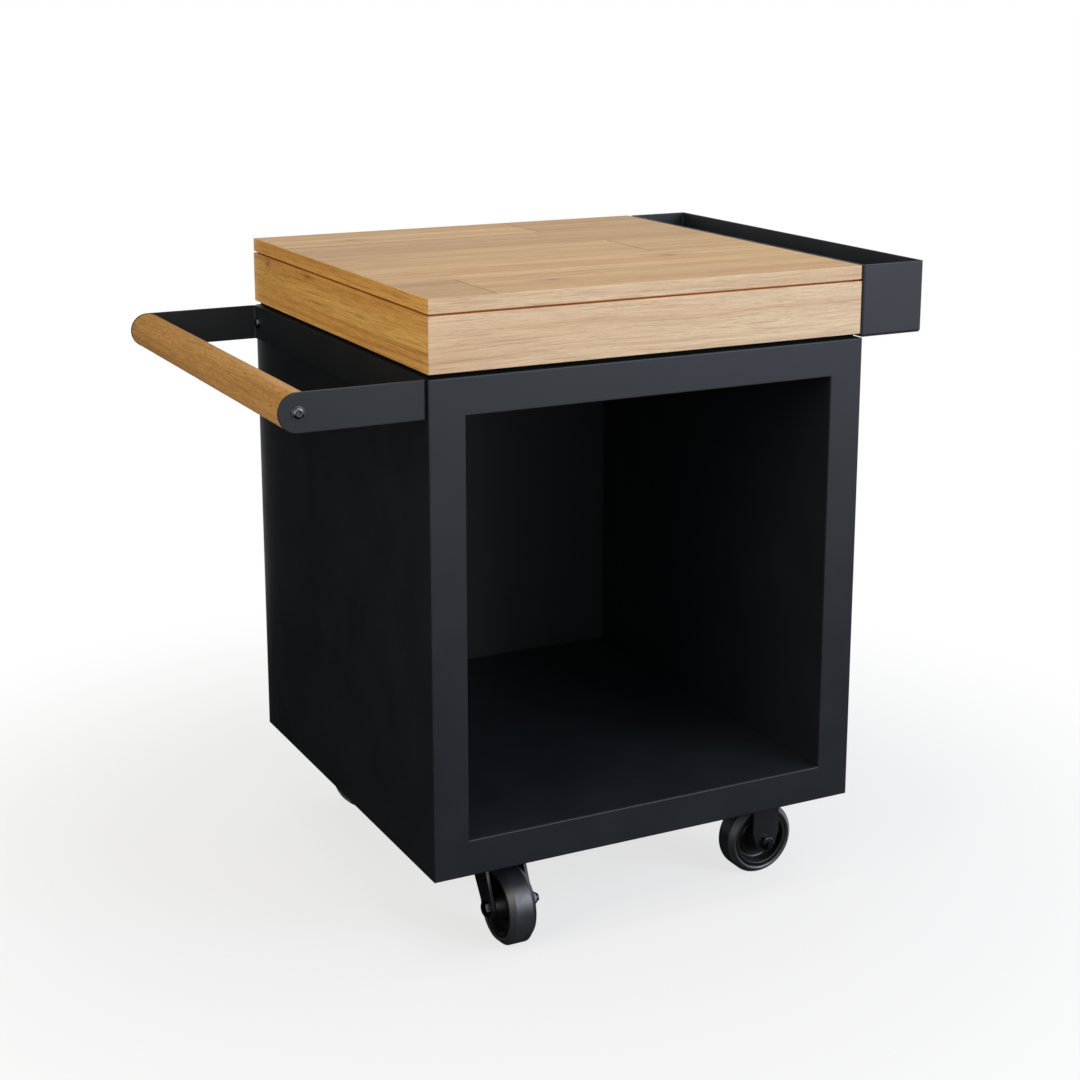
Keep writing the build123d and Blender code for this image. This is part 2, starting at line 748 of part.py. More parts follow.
# Swivel head: plate with its raceway, kingpin, bearing ring and the trailing fork
def swivel_head(corner, plate_place, fork_place):
    race_bottom = plate_bottom - race_ring_height
    with BuildPart() as plate:
        with BuildSketch(Plane.XY.offset(plate_bottom)):
            RectangleRounded(plate_length, plate_width, plate_corner_radius)
            add(caster_holes, mode=Mode.SUBTRACT)
        extrude(amount=plate_thickness)
        with BuildSketch(Plane.XY.offset(race_bottom)):
            Circle(race_outer_radius)
            Circle(race_inner_radius, mode=Mode.SUBTRACT)
        extrude(amount=race_ring_height)
        with Locations((0, 0, cab_bottom)):
            CounterSinkHole(
                kingpin_radius + seat_clearance, kingpin_head_radius + seat_clearance, counter_sink_angle=90
            )
    save(plate, f"{corner}_caster_plate", plate_place)

    collar_top = crown_bottom - running_gap
    with BuildPart() as kingpin:
        with BuildSketch(Plane.XZ):
            with BuildLine():
                Polyline(
                    (0, cab_bottom),
                    (kingpin_head_radius, cab_bottom),
                    (kingpin_radius, cab_bottom - kingpin_head_radius + kingpin_radius),
                    (kingpin_radius, collar_top),
                    (kingpin_collar_radius, collar_top),
                    (kingpin_collar_radius, collar_top - kingpin_collar_height),
                    (0, collar_top - kingpin_collar_height),
                    close=True,
                )
            make_face()
        revolve(axis=Axis.Z)
    save(kingpin, f"{corner}_kingpin", plate_place)

    with BuildPart() as bearing:
        with BuildSketch(Plane.XY.offset(crown_top)):
            Circle(race_outer_radius - race_clearance)
            Circle(race_inner_radius + race_clearance, mode=Mode.SUBTRACT)
        extrude(amount=race_bottom - running_gap - crown_top)
    save(bearing, f"{corner}_swivel_bearing", fork_place)

    section = fork_section(crown_bottom)
    with BuildPart() as fork:
        with BuildSketch(Plane.YZ):
            make_face(section)
        extrude(amount=trail + wheel_radius, both=True)
        with BuildSketch(Plane.XZ):
            with Locations((0, crown_bottom)):
                Rectangle(swivel_leg_width, 2 * fork_sheet)
            with Locations((trail, wheel_radius)):
                Circle(fork_end_radius)
            make_hull()
        extrude(amount=fork_gap, both=True, mode=Mode.INTERSECT)
        with BuildSketch(Plane.XY.offset(crown_top)):
            Circle(race_outer_radius + cup_gap + cup_wall)
            Circle(race_outer_radius + cup_gap, mode=Mode.SUBTRACT)
        extrude(amount=cup_height)
        with BuildSketch(Plane.XY.offset(crown_bottom)):
            Circle(kingpin_radius + running_fit)
        extrude(amount=fork_sheet, mode=Mode.SUBTRACT)
        with BuildSketch(Plane.XZ):
            with Locations((trail, wheel_radius)):
                Circle(axle_radius + screw_clearance)
        extrude(amount=fork_gap, both=True, mode=Mode.SUBTRACT)
    save(fork, f"{corner}_fork", fork_place)


# Fixed fork: straight legs folded from the plate's crown
def fixed_fork(corner, place):
    section = fork_section(plate_bottom - fork_sheet)
    with BuildPart() as fork:
        with BuildSketch(Plane.YZ):
            make_face(section)
        extrude(amount=fixed_leg_width, both=True)
        with BuildSketch(Plane.XZ):
            leg_low = wheel_radius + fixed_leg_straight
            with Locations((0, (leg_low + plate_bottom) / 2)):
                Rectangle(fixed_leg_width, plate_bottom - leg_low)
            with Locations((0, wheel_radius)):
                Circle(fork_end_radius)
            make_hull()
        extrude(amount=fork_gap, both=True, mode=Mode.INTERSECT)
        with BuildSketch(Plane.XY.offset(plate_bottom)):
            RectangleRounded(plate_length, plate_width, plate_corner_radius)
            add(caster_holes, mode=Mode.SUBTRACT)
        extrude(amount=plate_thickness)
        with BuildSketch(Plane.XZ):
            with Locations((0, wheel_radius)):
                Circle(axle_radius + screw_clearance)
        extrude(amount=fork_gap, both=True, mode=Mode.SUBTRACT)
    save(fork, f"{corner}_fork", place)


for corner, y, trail_angle in (
    ("front_left", -caster_y, front_trail_angle),
    ("rear_left", caster_y, rear_trail_angle),
):
    plate_place = Location((swivel_x, y, 0))
    fork_place = Location((swivel_x, y, 0), (0, 0, trail_angle))
    wheel_place = fork_place * Location((trail, 0, wheel_radius))
    swivel_head(corner, plate_place, fork_place)
    axle(corner, wheel_place, nut_side=1)
    wheel(corner, wheel_place)

for corner, y in (("front_right", -caster_y), ("rear_right", caster_y)):
    wheel_place = Location((fixed_x, y, wheel_radius))
    fixed_fork(corner, Location((fixed_x, y, 0)))
    axle(corner, wheel_place, nut_side=-1)
    wheel(corner, wheel_place)
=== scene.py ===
# %% [markdown]
# # Dressing a mobile prep table
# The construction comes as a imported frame: every steel sheet, board, bolt and wheel is already there
# at its real size. This notebook gives it its looks. The loose timber board is rebuilt from its glued
# staves, and every piece gets a finish that starts from what the real material is.
# All lengths are in metres, in the frame's own axes: +Z up, the open front faces -Y.

# %% Load the frame
import math

import bpy
import numpy as np
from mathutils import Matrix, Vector


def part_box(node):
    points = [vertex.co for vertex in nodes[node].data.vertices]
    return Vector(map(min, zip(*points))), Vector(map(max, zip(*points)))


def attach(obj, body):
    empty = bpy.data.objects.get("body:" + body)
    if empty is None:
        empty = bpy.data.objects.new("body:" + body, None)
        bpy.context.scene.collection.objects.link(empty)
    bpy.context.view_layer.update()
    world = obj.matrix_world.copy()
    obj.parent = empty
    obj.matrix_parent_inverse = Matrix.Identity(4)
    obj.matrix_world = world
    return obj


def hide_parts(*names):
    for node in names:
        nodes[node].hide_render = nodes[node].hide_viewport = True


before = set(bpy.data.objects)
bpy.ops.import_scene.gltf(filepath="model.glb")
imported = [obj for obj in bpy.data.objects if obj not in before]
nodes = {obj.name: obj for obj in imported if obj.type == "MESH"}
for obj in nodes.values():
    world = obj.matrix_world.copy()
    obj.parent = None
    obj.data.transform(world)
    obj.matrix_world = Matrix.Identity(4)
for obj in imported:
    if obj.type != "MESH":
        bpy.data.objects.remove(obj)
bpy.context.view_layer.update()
mm = 0.001

# %% [markdown]
# ## Camera
# The photograph is a product shot taken a little above the worktop, from the front and the handle side.
# A camera could be aimed by eye, but its place and lens were solved from the cabinet's edges instead:
# turned to the right of straight ahead, tilted down, with a small shift for the framing.

# %% Camera
camera_place = (-1.1395, -2.3204, 1.1924)
camera_turn = math.radians(26.894)
camera_tilt = math.radians(12.943)
camera_lens = 66.0  # mm, on a sensor 36 mm wide
camera_shift = -0.1

camera = bpy.data.objects.new("camera", bpy.data.cameras.new("camera"))
camera.location = camera_place
camera.rotation_euler = (math.pi / 2 - camera_tilt, 0, -camera_turn)
camera.data.sensor_width = 36
camera.data.lens = camera_lens
camera.data.shift_y = camera_shift
camera.data.clip_start = 0.05
bpy.context.scene.collection.objects.link(camera)
bpy.context.scene.camera = camera
bpy.context.scene.view_settings.view_transform = "Standard"
print("camera at", camera_place, "lens", camera_lens, "mm")

# %% [markdown]
# ## Small helpers
# Finishes are node trees, and one function that adds a node, sets it and links it keeps them readable.
# Colours are written as they look on a screen, so one function turns them into the linear values that
# the renderer works in. Sizes of patterns are written in millimetres and turned into texture scales.


# %% Helpers for finishes
def linear(hex_colour):
    """Screen colour to linear light: the sRGB curve, undone channel by channel."""
    screen = np.array([int(hex_colour[i : i + 2], 16) for i in (1, 3, 5)]) / 255
    light = np.where(screen <= 0.04045, screen / 12.92, ((screen + 0.055) / 1.055) ** 2.4)
    return (*light.tolist(), 1.0)


def add(tree, kind, values=None, links=None, **settings):
    """Adds one node: settings are its own options, values fill sockets, links join sockets to outputs."""
    made = tree.nodes.new(kind)
    for name, value in settings.items():
        setattr(made, name, value)
    for socket, value in (values or {}).items():
        made.inputs[socket].default_value = value
    for socket, source in (links or {}).items():
        tree.links.new(source, made.inputs[socket])
    return made


def new_finish(name):
    """An empty material with its output node."""
    material = bpy.data.materials.new(name)
    material.use_nodes = True
    material.node_tree.nodes.clear()
    output = add(material.node_tree, "ShaderNodeOutputMaterial")
    return material, material.node_tree, output


def per_metre(size_in_mm):
    """Texture scale for a pattern whose marks are about this many millimetres apart."""
    return 1000 / size_in_mm


def wear(material, *names):
    """Gives a finish to pieces of the frame."""
    for name in names:
        nodes[name].data.materials.clear()
        nodes[name].data.materials.append(material)


print("mid grey on a screen is", round(linear("#808080")[0], 3), "in linear light")

# %% [markdown]
# ## Powder-coated steel
# The cabinet, the planter and the handle's bracket are folded sheet, sprayed with a fine-textured
# polyester powder and baked. The eye gets a dark, slightly blue grey that is nearly matt, a grain like
# fine sand, and a thin light line where an edge is rounded by the coat. A flat dark colour would lose
# all three, so the grain is bump, the mottling is roughness, and the edge comes from rounded normals.


# %% Powder-coated steel
def powder_coat(name, dark, light, grain_mm=2.4, mottle_mm=75, edge_mm=1.5):
    """Fine-textured baked polyester on steel. The real grain is about 0.4 mm, drawn coarser to show."""
    satin, matt = 0.46, 0.53  # roughness, from the smoothest patches to the roughest
    grain_depth = 0.12 * mm
    material, tree, output = new_finish(name)
    place = add(tree, "ShaderNodeTexCoord").outputs["Object"]
    grain = add(
        tree,
        "ShaderNodeTexNoise",
        {"Scale": per_metre(grain_mm), "Detail": 3, "Roughness": 0.6},
        {"Vector": place},
    ).outputs["Fac"]
    mottle = add(
        tree,
        "ShaderNodeTexNoise",
        {"Scale": per_metre(mottle_mm), "Detail": 4, "Roughness": 0.55},
        {"Vector": place},
    ).outputs["Fac"]
    colour = add(
        tree,
        "ShaderNodeMix",
        {6: linear(dark), 7: linear(light)},
        {0: mottle},
        data_type="RGBA",
    ).outputs[2]
    sheen = add(
        tree,
        "ShaderNodeMapRange",
        {"From Min": 0.3, "From Max": 0.7, "To Min": satin, "To Max": matt},
        {"Value": mottle},
    ).outputs["Result"]
    edges = add(tree, "ShaderNodeBevel", {"Radius": edge_mm * mm}, samples=6).outputs["Normal"]
    bump = add(
        tree,
        "ShaderNodeBump",
        {"Strength": 0.22, "Distance": grain_depth},
        {"Height": grain, "Normal": edges},
    ).outputs["Normal"]
    coat = add(
        tree,
        "ShaderNodeBsdfPrincipled",
        {"IOR": 1.5},
        {"Base Color": colour, "Roughness": sheen, "Normal": bump},
    )
    tree.links.new(coat.outputs["BSDF"], output.inputs["Surface"])
    return material


steel = powder_coat("powder_coated_steel_charcoal", "#101519", "#151b20")
steel_pieces = [
    "front_frame", "left_side_panel", "right_side_panel", "back_panel", "top_deck", "base_panel",
    "liner_left", "liner_right", "liner_ceiling", "storage_floor", "caster_channel_left",
    "caster_channel_right", "planter_trough", "planter_spacers", "handle_bracket",
]
wear(steel, *steel_pieces)
print("powder coat on", len(steel_pieces), "pieces")

# %% [markdown]
# ## Timber: the layers of its grain
# The worktop is an oiled hardwood. Sawn along the trunk, it shows bands of lighter and darker growth,
# reddish streaks, fine fibres, and pores cut open into short dark dashes, all stretched along the grain.
# A picture of wood could be wrapped round the boards, but it repeats and blurs close up. So each layer
# is noise on coordinates that are squeezed along the grain axis. A slow warp comes first, and the bands
# and streaks follow it, as growth rings wander in a trunk, while fibres and pores run straight.

# %% Layers of grain
# Each layer: mm along the grain, mm across it, noise detail and roughness, and whether the warp bends it.
# Real fibres are finer than these, which are drawn coarser to show.
grain_marks = {
    "warp": (330, 110, 1, 0.5, False),
    "bands": (700, 24, 3, 0.5, True),
    "long_streaks": (480, 6.5, 2, 0.5, True),
    "short_streaks": (120, 1.7, 3, 0.6, True),
    "fibres": (40, 1.5, 2, 0.5, False),
    "pores": (12, 0.7, 1, 0.5, False),
}
warp_reach = 18 * mm


def along_grain(grain_axis, along_mm, across_mm):
    """Scale on each axis for marks of this size along and across the grain."""
    scale = [per_metre(across_mm)] * 3
    scale["XYZ".index(grain_axis)] = per_metre(along_mm)
    return scale


def grain_layers(tree, straight, grain_axis):
    """One squeezed noise for each mark of the grain. Bent coordinates are the straight ones plus the
    warp's colour times its reach."""
    layers = {}
    bent = straight
    for mark, (along_mm, across_mm, detail, rough, follows_warp) in grain_marks.items():
        squeezed = add(
            tree,
            "ShaderNodeMapping",
            {"Scale": along_grain(grain_axis, along_mm, across_mm)},
            {"Vector": bent if follows_warp else straight},
        ).outputs["Vector"]
        noise = add(
            tree,
            "ShaderNodeTexNoise",
            {"Scale": 1.0, "Detail": detail, "Roughness": rough},
            {"Vector": squeezed},
        ).outputs
        layers[mark] = noise["Fac"]
        if mark == "warp":
            push = add(
                tree,
                "ShaderNodeVectorMath",
                {1: [warp_reach] * 3},
                {0: noise["Color"]},
                operation="MULTIPLY",
            ).outputs["Vector"]
            bent = add(
                tree, "ShaderNodeVectorMath", links={0: straight, 1: push}, operation="ADD"
            ).outputs["Vector"]
    return layers


print("grain is drawn in", len(grain_marks), "layers")

# %% [markdown]
# ## Timber: knots
# A knot is a branch that the board was sawn through: a dark oval heart with a paler halo, its outline
# frayed where the grain flows round it. It could be painted in, but a distance measured in knot widths
# is enough: small at the heart, growing outwards, and made ragged by adding the fibres to it.


# %% Distance from a knot
def knot_reach(tree, place, fibres, grain_axis, middle, across_mm, along_mm):
    """Length of (place - middle), measured in the knot's half-widths, plus the fibres' noise."""
    offset = add(
        tree, "ShaderNodeVectorMath", {1: middle}, {0: place}, operation="SUBTRACT"
    ).outputs["Vector"]
    widths = add(
        tree,
        "ShaderNodeVectorMath",
        {1: along_grain(grain_axis, along_mm, across_mm)},
        {0: offset},
        operation="MULTIPLY",
    ).outputs["Vector"]
    length = add(tree, "ShaderNodeVectorMath", links={0: widths}, operation="LENGTH").outputs["Value"]
    return add(tree, "ShaderNodeMath", links={0: length, 1: fibres}, operation="ADD").outputs["Value"]


# Knots: middle, then half-widths in mm across and along the grain
board_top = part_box("prep_board")[1].z
apron_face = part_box("apron_left")[0].x
board_knots = [
    ((-0.062, -0.230, board_top), 9, 20),
    ((0.170, -0.106, board_top), 11, 26),
    ((-0.144, 0.218, board_top), 8, 16),
]
apron_knots = [((apron_face, 0.242, 0.811), 5, 9), ((apron_face, 0.087, 0.814), 3, 17)]
print(len(board_knots), "knots on the board,", len(apron_knots), "on the left apron")

# %% [markdown]
# ## Timber: the finish
# Oil deepens the colours and leaves a low, even shine. The pale wood is tinted by one layer after the
# other, each painted over those before it. Staves also carry their own tone and their own piece of
# trunk, both as numbers on the mesh, so one material serves all of them. Pores are cut into the surface
# as bump, because light from the side shows them. The tops of the aprons lie in the groove under the
# board and get a painted glow: an orange tint that stands in for light bounced round inside the groove.


# %% Oiled timber
def timber(
    name, pale, ripe, streak, grain_axis, knots=(), toned=False, figure=1.0, pore_depth=0.4, groove_glow_top=None
):
    """Oiled hardwood with its grain along one axis. Figure sets how strongly the streaks show; the last
    argument is the height of a top face that gets a painted orange glow for light bounced in the groove."""
    # The third colour is a painted glow: an orange that stands in for light bounced inside the groove.
    heart, dark_stave, groove_glow_colour = "#6b4522", "#8c6036", "#f2a44a"
    oiled, dry = 0.46, 0.58  # roughness
    material, tree, output = new_finish(name)
    place = add(tree, "ShaderNodeTexCoord").outputs["Object"]
    shift = add(tree, "ShaderNodeAttribute", attribute_name="stave_shift").outputs["Vector"]
    own = add(tree, "ShaderNodeVectorMath", links={0: place, 1: shift}, operation="ADD").outputs["Vector"]
    layers = grain_layers(tree, own, grain_axis)
    fibres = layers["fibres"]

    # Each tint: its noise, the values where it starts and is full, its full strength and its colour
    tints = {"bands": (layers["bands"], 0.36, 0.66, 1.0, ripe)}
    # Painted glow: tops at this height are tinted orange, as light bounced in the groove would warm them.
    if groove_glow_top:
        height = add(tree, "ShaderNodeSeparateXYZ", links={0: place}).outputs["Z"]
        tints["top"] = (height, groove_glow_top - 0.3 * mm, groove_glow_top - 0.1 * mm, 1.0, groove_glow_colour)
    tints |= {
        "long_streaks": (layers["long_streaks"], 0.52, 0.70, 0.42 * figure, streak),
        "short_streaks": (layers["short_streaks"], 0.53, 0.68, 0.60 * figure, streak),
        "fibres": (fibres, 0.35, 0.70, 0.3, streak),
        "pores": (layers["pores"], 0.57, 0.70, pore_depth, streak),
    }
    if toned:
        tone = add(tree, "ShaderNodeAttribute", attribute_name="stave_tone").outputs["Fac"]
        tints["stave"] = (tone, 0.0, 1.0, 1.0, dark_stave)
    for number, knot in enumerate(knots):
        reach = knot_reach(tree, place, fibres, grain_axis, *knot)
        tints[f"halo_{number}"] = (reach, 2.6, 0.8, 0.45, streak)
        tints[f"heart_{number}"] = (reach, 1.05, 0.75, 0.7, heart)

    below = {}  # the first tint lies on the pale wood, the others on what is there
    shown = {}
    for mark, (noise, start, full, strength, tint) in tints.items():
        shown[mark] = add(
            tree,
            "ShaderNodeMapRange",
            {"From Min": start, "From Max": full, "To Max": strength},
            {"Value": noise},
        ).outputs["Result"]
        painted = add(
            tree,
            "ShaderNodeMix",
            {6: linear(pale), 7: linear(tint)},
            {0: shown[mark], **below},
            data_type="RGBA",
        ).outputs[2]
        below = {6: painted}

    gloss = add(
        tree,
        "ShaderNodeMapRange",
        {"From Min": 0.3, "From Max": 0.7, "To Min": oiled, "To Max": dry},
        {"Value": fibres},
    ).outputs["Result"]
    grooves = add(
        tree, "ShaderNodeMath", links={0: fibres, 1: shown["pores"]}, operation="SUBTRACT"
    ).outputs["Value"]
    edges = add(tree, "ShaderNodeBevel", {"Radius": 0.9 * mm}, samples=4).outputs["Normal"]
    bump = add(
        tree,
        "ShaderNodeBump",
        {"Strength": 0.3, "Distance": 0.15 * mm},
        {"Height": grooves, "Normal": edges},
    ).outputs["Normal"]
    wood = add(
        tree,
        "ShaderNodeBsdfPrincipled",
        {"IOR": 1.46},
        {"Base Color": painted, "Roughness": gloss, "Normal": bump},
    )
    tree.links.new(wood.outputs["BSDF"], output.inputs["Surface"])
    return material


apron_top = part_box("apron_left")[1].z
stave_timber = timber("oiled_hardwood_staves", "#d3af75", "#bd9258", "#95673a", "X", board_knots, toned=True)
# Painted light: this pale copy of the timber stands for faces lit by the front light. It goes on the apron
# faces that look to the front and back.
lit_front_timber = timber(
    "oiled_hardwood_pale_painted_lit", "#dec49d", "#d2b289", "#ac8163", "X", figure=0.9, groove_glow_top=apron_top
)
# Painted shade: this golden copy of the same timber stands for the shaded sides. It goes on the apron faces
# that look to the sides, and on bearers and cleats.
shaded_side_timber = timber(
    "oiled_hardwood_golden_painted_shade", "#e8b960", "#d59f4c", "#8e5422", "Y", apron_knots, groove_glow_top=apron_top
)
# The board's long edges get the pale copy with painted light, and its ends the golden copy with painted
# shade.
lit_edge_timber = timber("oiled_hardwood_lit_long_edge", "#dec49d", "#d2b289", "#ac8163", "X", figure=0.9)
shaded_end_timber = timber("oiled_hardwood_shaded_end", "#e8b35b", "#d39a48", "#965d25", "Y")
joint_timber = timber("oiled_hardwood_butt_joint", "#8a6038", "#7a522e", "#5a3718", "Y")
# Painted glow: faces inside the board's groove get a brighter, more orange timber for light bounced there.
groove_glow_timber = timber("oiled_hardwood_groove_painted_glow", "#f0a54c", "#e69a44", "#b86c2c", "Y")
bar_timber = timber("oiled_hardwood_bar", "#ce9c57", "#be8c48", "#7a4f21", "Y", figure=0.7, pore_depth=0.9)
wear(lit_front_timber, "apron_front", "apron_back")
wear(shaded_side_timber, "apron_left", "apron_right", "worktop_bearers", "board_cleats")
wear(bar_timber, "handle_bar")
print("timber on the aprons, bearers, cleats and bar")

# %% [markdown]
# ## The loose board: a block with eased edges
# Every stave of the board is a plain block whose sharp edges were taken off by sanding. A cube with a
# Bevel modifier would do, but it gives all edges the same radius. Here the outer edges are rounder than
# the glued ones, so the block is worked out as a surface with a radius for each side.


# %% A block with eased edges
def rounded_block(low, high, round_low, round_high, steps=4):
    """Closed block with eased edges. Going round it, each upright corner is a quarter ellipse, and so are
    its lower and upper edges: corner centre + radius * (cos up cos around, cos up sin around, sin up).
    Radii are given for the low and the high side of each axis. Returns points and faces; the two flat
    ends are one face each."""
    quarter = np.linspace(0, np.pi / 2, steps)
    around = np.add.outer(np.arange(4) * np.pi / 2, quarter).ravel()
    upward = np.concatenate([quarter - np.pi / 2, quarter])

    def along(axis, is_high, reach):
        radius = np.where(is_high, round_high[axis], round_low[axis])
        centre = np.where(is_high, high[axis] - radius, low[axis] + radius)
        return centre + radius * reach

    east = np.repeat([True, False, False, True], steps)
    north = np.repeat([True, True, False, False], steps)
    above = np.repeat([False, True], steps)[:, None]
    x = along(0, east, np.outer(np.cos(upward), np.cos(around)))
    y = along(1, north, np.outer(np.cos(upward), np.sin(around)))
    z = along(2, above, np.outer(np.sin(upward), np.ones(len(around))))
    index = np.arange(x.size).reshape(x.shape)
    beside = np.roll(index, -1, axis=1)
    quads = np.stack([index[:-1], beside[:-1], beside[1:], index[1:]], -1).reshape(-1, 4)
    caps = [index[0, ::-1].tolist(), index[-1].tolist()]
    return np.stack([x, y, z], -1).reshape(-1, 3), quads.tolist() + caps


cube_points, cube_faces = rounded_block((0, 0, 0), (1, 1, 1), (0.1, 0.1, 0.1), (0.1, 0.1, 0.1))
print("one block has", len(cube_points), "points and", len(cube_faces), "faces")

# %% [markdown]
# ## The loose board: base and edge bands
# The board's edges run through in one piece, without joints, and a dark groove runs round under them.
# The groove could be cut with a Boolean, but stacking is simpler: a base that is set back from the edge,
# and on it four thin bands that frame the staves. All places come from the solid board's box.

# %% Base and edge bands
board_low, board_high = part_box("prep_board")
band = 3 * mm
edge_round = 1.5 * mm
side_round = 0.2 * mm
groove_height = 2 * mm
groove_depth = 8 * mm
slab_low = board_low.z + groove_height
inner_low = board_low + Vector((band, band, 0))
inner_high = board_high - Vector((band, band, 0))

base = rounded_block(
    (board_low.x + groove_depth, board_low.y + groove_depth, board_low.z),
    (board_high.x - groove_depth, board_high.y - groove_depth, slab_low + edge_round),
    [side_round] * 3,
    [side_round] * 3,
)
front_band = rounded_block(
    (board_low.x, board_low.y, slab_low),
    (board_high.x, inner_low.y, board_high.z),
    (edge_round, edge_round, edge_round),
    (edge_round, side_round, edge_round),
)
back_band = rounded_block(
    (board_low.x, inner_high.y, slab_low),
    board_high,
    (edge_round, side_round, edge_round),
    (edge_round, edge_round, edge_round),
)
left_band = rounded_block(
    (board_low.x, inner_low.y, slab_low),
    (inner_low.x, inner_high.y, board_high.z),
    (edge_round, side_round, edge_round),
    (side_round, side_round, edge_round),
)
right_band = rounded_block(
    (inner_high.x, inner_low.y, slab_low),
    (board_high.x, inner_high.y, board_high.z),
    (side_round, side_round, edge_round),
    (edge_round, side_round, edge_round),
)
plain_blocks = [base, front_band, back_band, left_band, right_band]
print("base and", len(plain_blocks) - 1, "edge bands")

# %% [markdown]
# ## The loose board: staves
# The real board is glued up from five wide strips, some of them butted from two lengths, so fine joint
# lines cross the top in a staggered pattern. Drawing the lines in a texture would lose the light that
# catches in them, so each stave is its own block, and the eased edges of two neighbours make the joint.
# Butt joints open a little wider than the long glue lines.

# %% Staves
strip_count = 5
butt_round = 0.8 * mm
# Butt joints, from the board's left end, by strip from the front
butt_joints = {0: [0.0885], 2: [0.4265], 4: [0.3845]}
strip_width = (inner_high.y - inner_low.y) / strip_count

staves = []
for strip in range(strip_count):
    butts = [board_low.x + place for place in butt_joints.get(strip, [])]
    cuts = [inner_low.x, *butts, inner_high.x]
    front = inner_low.y + strip * strip_width
    for start, stop in zip(cuts, cuts[1:]):
        staves.append(
            rounded_block(
                (start, front, slab_low),
                (stop, front + strip_width, board_high.z),
                (butt_round if start in butts else side_round, side_round, butt_round),
                (butt_round if stop in butts else side_round, side_round, butt_round),
            )
        )
print(len(staves), "staves, each", round(strip_width / mm, 1), "mm wide")

# %% [markdown]
# ## The loose board: one mesh
# Staves differ in tone, and no two come from the same place in the trunk. Separate materials would do
# that eight times over. Instead all blocks go into one mesh, and every point carries its stave's tone
# and a shift that moves the grain to another part of the noise.


# %% Blocks in one mesh
def mesh_object(name, points, faces, *materials):
    """Puts points and faces in a new object at the origin."""
    mesh = bpy.data.meshes.new(name)
    mesh.from_pydata(points, [], faces)
    for material in materials:
        mesh.materials.append(material)
    made = bpy.data.objects.new(name, mesh)
    bpy.context.scene.collection.objects.link(made)
    return made


stave_tones = [0.42, 0.12, 0.02, 0.10, 0.16, 0.36, 0.02, 0.30]
shift_reach = 3  # metres of noise, either way
trunk = np.random.default_rng(7)

blocks = plain_blocks + staves
counts = [len(points) for points, faces in blocks]
starts = np.cumsum([0, *counts])
all_points = np.concatenate([points for points, faces in blocks])
all_faces = [[start + corner for corner in face] for start, block in zip(starts, blocks) for face in block[1]]
board_timbers = [stave_timber, lit_edge_timber, shaded_end_timber, joint_timber, groove_glow_timber]
board = mesh_object("prep_board_staves", all_points, all_faces, *board_timbers)

tone_values = np.repeat([0.0] * len(plain_blocks) + stave_tones, counts)
board.data.attributes.new("stave_tone", "FLOAT", "POINT").data.foreach_set("value", tone_values)
shift_values = np.repeat(trunk.uniform(-shift_reach, shift_reach, (len(blocks), 3)), counts, axis=0)
board.data.attributes.new("stave_shift", "FLOAT_VECTOR", "POINT").data.foreach_set(
    "vector", shift_values.ravel()
)
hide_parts("prep_board")
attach(board, "board")
print("board of", len(blocks), "blocks,", len(board.data.polygons), "faces")

# %% [markdown]
# ## The loose board: which timber on which face
# A board shows long grain on top, a pale face along its front and back and golden ends: copies of one
# timber, with painted light on the front and back and painted shade on the ends. Its butt joints get
# shade, and its groove a painted reddish glow for light bounced there. Faces could be picked by hand, but
# where a face lies and which way it points already say which timber it gets, for all faces at once.

# %% Timber on each face
stave_face, lit_long_edge, shaded_end, shaded_joint, groove = range(len(board_timbers))
normals = np.empty(3 * len(board.data.polygons))
middles = np.empty(3 * len(board.data.polygons))
board.data.polygons.foreach_get("normal", normals)
board.data.polygons.foreach_get("center", middles)
facing_x, facing_y, facing_z = np.abs(normals.reshape(-1, 3)).T
to_end = np.minimum(middles[::3] - board_low.x, board_high.x - middles[::3])
at_end = to_end < groove_depth + edge_round
in_groove = (np.arange(len(to_end)) < len(base[1])) & (facing_z < 0.5)
over_groove = (np.abs(middles[2::3] - slab_low) < 0.1 * mm) & (facing_z > 0.7)
# Faces in the groove get the painted glow, ends the golden copy with painted shade, long edges the pale copy
# with painted light.
which = np.select(
    [in_groove | over_groove, at_end & (facing_x > 0.7), ~at_end & (facing_x > 0.2), facing_y > 0.7],
    [groove, shaded_end, shaded_joint, lit_long_edge],
    stave_face,
)
board.data.polygons.foreach_set("material_index", which.astype(np.int32))
print("faces by timber:", np.bincount(which).tolist())

# %% [markdown]
# ## Rubber, nylon and black metals
# The wheels are black nylon with a rubber tyre. Rubber is dark grey with a broad, soft shine, nylon is
# blacker and takes its gloss from the mould. Forks are steel dipped in black paint, axle bolts are black
# oxide, other bolts black zinc. Plain black would look like a hole, so one recipe gives each of them
# cloudy colour and roughness and a fine grain, and only its numbers differ.


